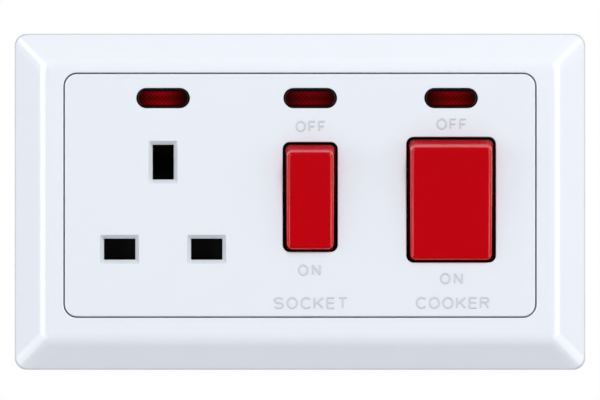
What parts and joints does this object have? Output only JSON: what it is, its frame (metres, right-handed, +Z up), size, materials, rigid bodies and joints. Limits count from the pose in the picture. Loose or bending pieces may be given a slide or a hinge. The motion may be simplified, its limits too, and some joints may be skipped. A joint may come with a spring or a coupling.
{
  "type": "cooker control unit",
  "caption": "Wall-mounted cooker control unit: a bevelled white frame and panel with a switched shuttered socket outlet, a red cooker rocker switch and red neon indicators.",
  "frame": {"origin": "middle of the frame's back edge in the plane of the wall, halfway between the two fixing holes", "axes": "+X right across the face, +Y into the wall, +Z up; the face looks along -Y"},
  "size_m": [0.146, 0.0365, 0.086],
  "materials": {
    "white_moulding": "gloss",
    "white_panel": "gloss",
    "base_moulding": "satin",
    "black_moulding": "satin",
    "red_rocker": "gloss",
    "plunger_plastic": "satin",
    "spring_steel": "bright",
    "copper_alloy": "bright",
    "brass_strip": "bright",
    "brass_block": "machined",
    "terminal_screw": "machined",
    "screw_steel": "zinc plated",
    "red_lens": "clear gloss",
    "lamp_glass": "clear",
    "resistor_body": "satin"
  },
  "bodies": {
    "unit": {"outer_frame": "white_moulding", "front_panel": "white_panel", "mechanism_cover": "black_moulding", "base_housing": "base_moulding", "shutter_spring": "spring_steel", "socket_fulcrum_strip": "brass_strip", "supply_neutral_strip": "brass_strip", "supply_line_strip": "brass_strip", "cooker_neutral_strip": "brass_strip", "cooker_line_strip": "brass_strip", "line_link": "brass_strip", "socket_line_contact": "brass_strip", "socket_neutral_contact": "brass_strip", "earth_contact": "brass_strip", "supply_neutral_pillar": "brass_block", "supply_line_pillar": "brass_block", "cooker_neutral_pillar": "brass_block", "cooker_line_pillar": "brass_block", "earth_pillar": "brass_block", "terminal_screws": "terminal_screw", "cover_screws": "screw_steel", "neon_lens_left": "red_lens", "neon_lamp_left": "lamp_glass", "neon_resistor_left": "resistor_body", "neon_lens_middle": "red_lens", "neon_lamp_middle": "lamp_glass", "neon_resistor_middle": "resistor_body", "neon_lens_right": "red_lens", "neon_lamp_right": "lamp_glass", "neon_resistor_right": "resistor_body"},
    "socket_switch": {"socket_rocker": "red_rocker", "socket_plunger": "plunger_plastic", "socket_plunger_spring": "spring_steel"},
    "cooker_switch": {"cooker_rocker": "red_rocker", "cooker_neutral_plunger": "plunger_plastic", "cooker_neutral_plunger_spring": "spring_steel", "cooker_line_plunger": "plunger_plastic", "cooker_line_plunger_spring": "spring_steel"},
    "socket_arm": {"socket_contact_arm": "copper_alloy"},
    "cooker_arms": {"cooker_neutral_arm": "copper_alloy", "cooker_line_arm": "copper_alloy"},
    "shutter": {"socket_shutter": "black_moulding"}
  },
  "joints": [
    {"name": "socket_rocker_tilt", "type": "hinge", "parent": "unit", "child": "socket_switch", "pos_m": [0.0026, -0.005, 0.0012], "axis": [1, 0, 0], "range_deg": [-14, 0]},
    {"name": "cooker_rocker_tilt", "type": "hinge", "parent": "unit", "child": "cooker_switch", "pos_m": [0.0385, -0.005, 0.0005], "axis": [1, 0, 0], "range_deg": [-14, 0]},
    {"name": "socket_arm_tilt", "type": "hinge", "parent": "unit", "child": "socket_arm", "pos_m": [0.0026, 0.0056, 0.0012], "axis": [1, 0, 0], "range_deg": [0, 14]},
    {"name": "cooker_arms_tilt", "type": "hinge", "parent": "unit", "child": "cooker_arms", "pos_m": [0.0385, 0.0056, 0.0005], "axis": [1, 0, 0], "range_deg": [0, 14]},
    {"name": "shutter_slide", "type": "slide", "parent": "unit", "child": "shutter", "axis": [0, 0, -1], "range_m": [0, 0.0058], "stiffness_N_per_m": 150, "springref_m": -0.004, "deforming": ["shutter_spring"]}
  ],
  "couplings": [
    {"joint": "socket_arm_tilt", "follows": "socket_rocker_tilt", "ratio": -1},
    {"joint": "cooker_arms_tilt", "follows": "cooker_rocker_tilt", "ratio": -1}
  ]
}
